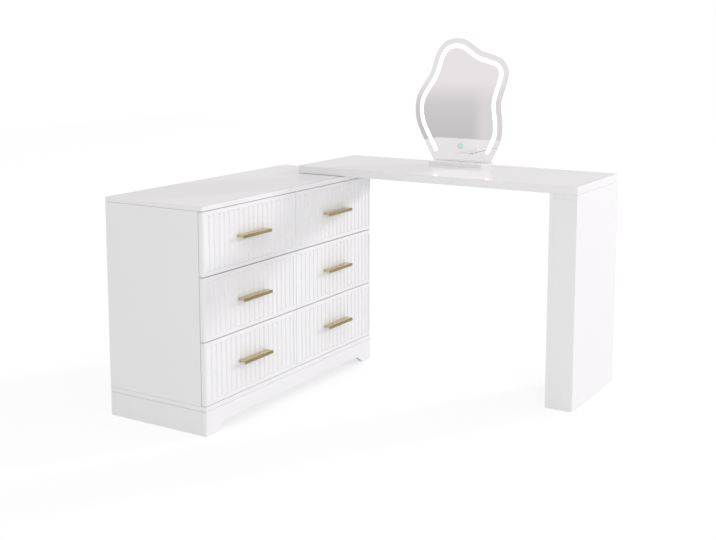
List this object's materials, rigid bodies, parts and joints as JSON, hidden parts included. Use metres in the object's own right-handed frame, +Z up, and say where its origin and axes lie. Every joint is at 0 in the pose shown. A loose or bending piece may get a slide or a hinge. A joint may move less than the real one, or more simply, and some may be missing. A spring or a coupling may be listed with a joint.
{
  "type": "dressing table with a swivel desk",
  "caption": "L-shaped dressing table: a low chest of fluted drawers with brass pulls, a desk that swivels on its corner, and a lift-off lit mirror.",
  "frame": {"origin": "on the floor, under the centre of the box round the whole table", "axes": "-Y is the way the drawers open, +X is to the right of someone facing the drawers, +Z is up"},
  "size_m": [1.213, 1.291, 1.2285],
  "materials": {
    "white_lacquer": "smooth white lacquer on fibreboard, satin to semi-gloss",
    "back_board": "thin hardboard with a matt white face",
    "drawer_board": "board with a pale matt foil, for the inside of the drawers",
    "brass": "satin brushed brass",
    "runner_steel": "bright zinc-plated steel",
    "bush_steel": "turned steel",
    "felt": "dense grey felt",
    "slip_plastic": "waxy self-lubricating plastic",
    "white_plate": "smooth satin white",
    "mirror_glass": "silvered glass with a polished edge",
    "light_diffuser": "frosted white band, lit from behind",
    "touch_mark": "frosted, faintly blue-green touch switch",
    "inlet_plastic": "black moulded plastic"
  },
  "bodies": {
    "chest": {"top_board": "white_lacquer", "bottom_board": "white_lacquer", "left_side_panel": "white_lacquer", "right_side_panel": "white_lacquer", "centre_partition": "white_lacquer", "back_panel": "back_board", "base_front_skirt": "white_lacquer", "base_back_board": "white_lacquer", "base_left_board": "white_lacquer", "base_right_board": "white_lacquer", "base_middle_board": "white_lacquer", "cabinet_runners": "runner_steel", "cam_locks": "runner_steel", "pivot_bush": "bush_steel"},
    "desk": {"desk_top": "white_lacquer", "leg_outer_panel": "white_lacquer", "leg_inner_panel": "white_lacquer", "leg_near_panel": "white_lacquer", "leg_far_panel": "white_lacquer", "leg_top_board": "white_lacquer", "leg_bottom_board": "white_lacquer", "leg_glides": "felt", "swivel_disc": "slip_plastic", "pivot_bolt": "runner_steel"},
    "mirror": {"mirror_base": "white_plate", "mirror_cover": "white_plate", "mirror_glass": "mirror_glass", "light_strip": "light_diffuser", "touch_button": "touch_mark", "power_socket": "inlet_plastic"},
    "left_bottom_drawer": {"left_bottom_drawer_front": "white_lacquer", "left_bottom_drawer_box": "drawer_board", "left_bottom_drawer_bottom": "drawer_board", "left_bottom_handle": "brass", "left_bottom_drawer_runners": "runner_steel"},
    "left_middle_drawer": {"left_middle_drawer_front": "white_lacquer", "left_middle_drawer_box": "drawer_board", "left_middle_drawer_bottom": "drawer_board", "left_middle_handle": "brass", "left_middle_drawer_runners": "runner_steel"},
    "left_top_drawer": {"left_top_drawer_front": "white_lacquer", "left_top_drawer_box": "drawer_board", "left_top_drawer_bottom": "drawer_board", "left_top_handle": "brass", "left_top_drawer_runners": "runner_steel"},
    "right_bottom_drawer": {"right_bottom_drawer_front": "white_lacquer", "right_bottom_drawer_box": "drawer_board", "right_bottom_drawer_bottom": "drawer_board", "right_bottom_handle": "brass", "right_bottom_drawer_runners": "runner_steel"},
    "right_middle_drawer": {"right_middle_drawer_front": "white_lacquer", "right_middle_drawer_box": "drawer_board", "right_middle_drawer_bottom": "drawer_board", "right_middle_handle": "brass", "right_middle_drawer_runners": "runner_steel"},
    "right_top_drawer": {"right_top_drawer_front": "white_lacquer", "right_top_drawer_box": "drawer_board", "right_top_drawer_bottom": "drawer_board", "right_top_handle": "brass", "right_top_drawer_runners": "runner_steel"}
  },
  "joints": [
    {"name": "desk_swivel", "type": "hinge", "parent": "chest", "child": "desk", "pos_m": [0.3, 0.348, 0.73], "axis": [0, 0, 1], "range_deg": [0, 90]},
    {"name": "mirror_lift", "type": "slide", "parent": "desk", "child": "mirror", "axis": [0, 0, 1], "range_m": [0, 0.25]},
    {"name": "left_bottom_drawer_slide", "type": "slide", "parent": "chest", "child": "left_bottom_drawer", "axis": [0, -1, 0], "range_m": [0, 0.26]},
    {"name": "left_middle_drawer_slide", "type": "slide", "parent": "chest", "child": "left_middle_drawer", "axis": [0, -1, 0], "range_m": [0, 0.26]},
    {"name": "left_top_drawer_slide", "type": "slide", "parent": "chest", "child": "left_top_drawer", "axis": [0, -1, 0], "range_m": [0, 0.26]},
    {"name": "right_bottom_drawer_slide", "type": "slide", "parent": "chest", "child": "right_bottom_drawer", "axis": [0, -1, 0], "range_m": [0, 0.26]},
    {"name": "right_middle_drawer_slide", "type": "slide", "parent": "chest", "child": "right_middle_drawer", "axis": [0, -1, 0], "range_m": [0, 0.26]},
    {"name": "right_top_drawer_slide", "type": "slide", "parent": "chest", "child": "right_top_drawer", "axis": [0, -1, 0], "range_m": [0, 0.26]}
  ]
}
